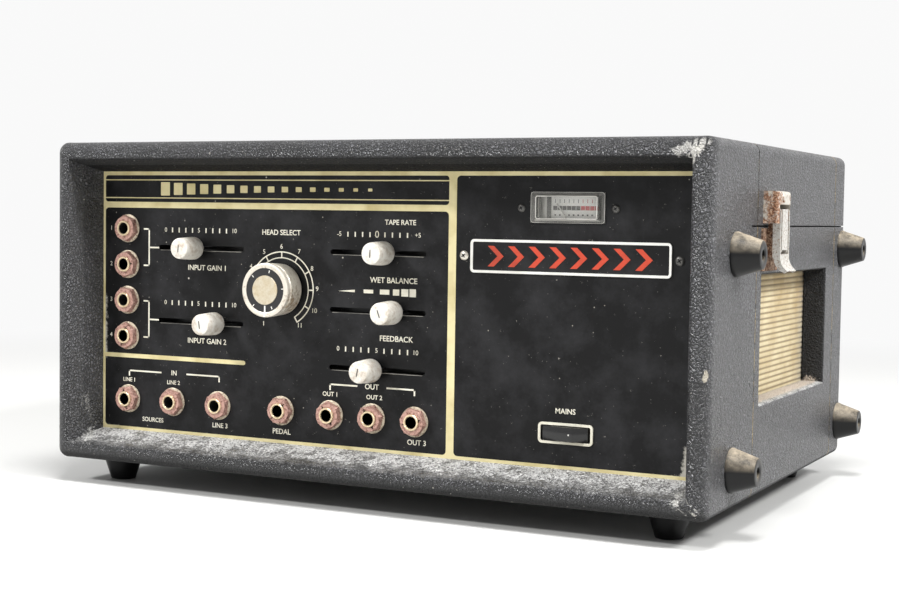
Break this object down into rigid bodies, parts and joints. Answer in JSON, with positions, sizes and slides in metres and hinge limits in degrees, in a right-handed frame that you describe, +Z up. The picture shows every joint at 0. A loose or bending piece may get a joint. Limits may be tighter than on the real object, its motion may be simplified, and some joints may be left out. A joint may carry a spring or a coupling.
{
  "type": "tape echo unit",
  "caption": "Tape echo effects unit: vinyl covered wooden case with a recessed control panel, slide controls, a rotary selector, sockets, a hinged lid over the tape deck, latches and feet.",
  "frame": {"origin": "middle of the underside of the whole unit, on the floor between the four lower feet", "axes": "+X to the right seen from the front, towards the side feet; +Y from the control panel towards the rear; +Z up"},
  "size_m": [0.428, 0.286, 0.2],
  "materials": {
    "covered_wood": "black pebbled vinyl over wood",
    "painted_wood": "black paint",
    "rubber": "matt",
    "panel": "black brushed, gold print",
    "plated_steel": "plated",
    "brass": "worn plating",
    "black_plastic": "matt",
    "satin_knob": "worn satin",
    "selector_metal": "dark satin",
    "clear_cover": "clear",
    "badge": "printed window",
    "bezel": "off-white",
    "latch_metal": "worn chrome",
    "cloth": "ribbed grille cloth",
    "painted_deck": "dark grey paint",
    "head_metal": "polished",
    "flywheel_metal": "machined",
    "pulley_metal": "turned",
    "tape": "satin",
    "board": "matt",
    "can": "sleeved"
  },
  "bodies": {
    "cabinet": {"cabinet_shell": "covered_wood", "front_frame": "painted_wood", "front_panel": "panel", "badge_window": "badge", "panel_screws": "plated_steel", "meter_body": "black_plastic", "meter_cover": "clear_cover", "power_bezel": "bezel", "power_switch_body": "black_plastic", "selector_switch_body": "black_plastic", "slider_pot_bodies": "black_plastic", "jack_bushings": "brass", "jack_nuts": "brass", "jack_washers": "plated_steel", "jack_bodies": "black_plastic", "grille_cloth": "cloth", "latch_bases": "latch_metal", "handle_brackets": "latch_metal", "bottom_feet": "rubber", "side_feet": "rubber", "foot_screws": "plated_steel", "case_hinge_leaves": "plated_steel", "hinge_pins": "plated_steel", "chassis_tray": "plated_steel", "circuit_board": "board", "capacitors": "can", "power_transformer": "painted_deck", "mains_inlet": "black_plastic", "fuse_holder": "black_plastic", "deck_plate": "painted_deck", "drive_motor": "painted_deck", "capstan_bearing": "brass", "head_block": "painted_deck", "tape_heads": "head_metal", "guide_posts": "plated_steel", "tape_loop": "tape", "drive_belt": "rubber"},
    "lid_assembly": {"lid": "covered_wood", "lid_hinge_leaves": "plated_steel", "latch_keepers": "latch_metal"},
    "lever_right": {"latch_lever_right": "latch_metal"},
    "lever_left": {"latch_lever_left": "latch_metal"},
    "claw_right": {"latch_claw_right": "latch_metal"},
    "claw_left": {"latch_claw_left": "latch_metal"},
    "handle": {"handle_grip": "black_plastic"},
    "rocker": {"power_rocker": "black_plastic"},
    "selector": {"selector_knob": "selector_metal", "selector_cap": "satin_knob", "selector_shaft": "plated_steel"},
    "slider_1": {"slider_knob_1": "satin_knob"},
    "slider_2": {"slider_knob_2": "satin_knob"},
    "slider_3": {"slider_knob_3": "satin_knob"},
    "slider_4": {"slider_knob_4": "satin_knob"},
    "slider_5": {"slider_knob_5": "satin_knob"},
    "needle": {"meter_needle": "plated_steel"},
    "capstan": {"flywheel": "flywheel_metal", "capstan_shaft": "plated_steel"},
    "pulley": {"motor_pulley": "pulley_metal"},
    "arm": {"pinch_arm": "plated_steel"},
    "roller": {"pinch_roller": "rubber"}
  },
  "joints": [
    {"name": "lid_hinge", "type": "hinge", "parent": "cabinet", "child": "lid_assembly", "pos_m": [0, 0.1402, 0.157], "axis": [-1, 0, 0], "range_deg": [0, 95]},
    {"name": "latch_lever_right_swing", "type": "hinge", "parent": "cabinet", "child": "lever_right", "pos_m": [0.2067, -0.044, 0.1644], "axis": [0, -1, 0], "range_deg": [0, 66]},
    {"name": "latch_claw_right_swing", "type": "hinge", "parent": "lever_right", "child": "claw_right", "pos_m": [0.2067, -0.044, 0.145], "axis": [0, -1, 0], "range_deg": [-92.4, 0]},
    {"name": "latch_lever_left_swing", "type": "hinge", "parent": "cabinet", "child": "lever_left", "pos_m": [-0.2067, -0.044, 0.1644], "axis": [0, 1, 0], "range_deg": [0, 66]},
    {"name": "latch_claw_left_swing", "type": "hinge", "parent": "lever_left", "child": "claw_left", "pos_m": [-0.2067, -0.044, 0.145], "axis": [0, 1, 0], "range_deg": [-92.4, 0]},
    {"name": "handle_swing", "type": "hinge", "parent": "cabinet", "child": "handle", "pos_m": [-0.208, -0.001, 0.12], "axis": [0, 1, 0], "range_deg": [0, 100]},
    {"name": "power_rocker_tilt", "type": "hinge", "parent": "cabinet", "child": "rocker", "pos_m": [0.1168, -0.1138, 0.0489], "axis": [0, 0, 1], "range_deg": [0, 8]},
    {"name": "selector_turn", "type": "hinge", "parent": "cabinet", "child": "selector", "pos_m": [-0.0573, -0.123, 0.1176], "axis": [0, 1, 0], "range_deg": [0, 300]},
    {"name": "slider_1_slide", "type": "slide", "parent": "cabinet", "child": "slider_1", "axis": [1, 0, 0], "range_m": [-0.0227, 0.0253]},
    {"name": "slider_2_slide", "type": "slide", "parent": "cabinet", "child": "slider_2", "axis": [1, 0, 0], "range_m": [-0.0375, 0.0105]},
    {"name": "slider_3_slide", "type": "slide", "parent": "cabinet", "child": "slider_3", "axis": [1, 0, 0], "range_m": [-0.0305, 0.0175]},
    {"name": "slider_4_slide", "type": "slide", "parent": "cabinet", "child": "slider_4", "axis": [1, 0, 0], "range_m": [-0.036, 0.012]},
    {"name": "slider_5_slide", "type": "slide", "parent": "cabinet", "child": "slider_5", "axis": [1, 0, 0], "range_m": [-0.0234, 0.0246]},
    {"name": "needle_swing", "type": "hinge", "parent": "cabinet", "child": "needle", "pos_m": [0.1159, -0.115, 0.1565], "axis": [0, 1, 0], "range_deg": [0, 70], "stiffness_Nm_per_rad": 0.0001, "springref_deg": -5.73},
    {"name": "capstan_spin", "type": "hinge", "parent": "cabinet", "child": "capstan", "pos_m": [0.06, 0.057, 0.15], "axis": [0, 0, 1], "continuous": true},
    {"name": "pulley_spin", "type": "hinge", "parent": "cabinet", "child": "pulley", "pos_m": [0.135, 0.082, 0.15], "axis": [0, 0, 1], "continuous": true},
    {"name": "pinch_arm_swing", "type": "hinge", "parent": "cabinet", "child": "arm", "pos_m": [0.108, 0.029, 0.158], "axis": [0, 0, 1], "range_deg": [0, 12]},
    {"name": "pinch_roller_spin", "type": "hinge", "parent": "arm", "child": "roller", "pos_m": [0.06, 0.0411, 0.166], "axis": [0, 0, 1], "continuous": true}
  ],
  "couplings": [
    {"joint": "latch_claw_right_swing", "follows": "latch_lever_right_swing", "ratio": -1.4},
    {"joint": "latch_claw_left_swing", "follows": "latch_lever_left_swing", "ratio": -1.4},
    {"joint": "pulley_spin", "follows": "capstan_spin", "ratio": 5.8333},
    {"joint": "pinch_roller_spin", "follows": "capstan_spin", "ratio": -0.25}
  ]
}
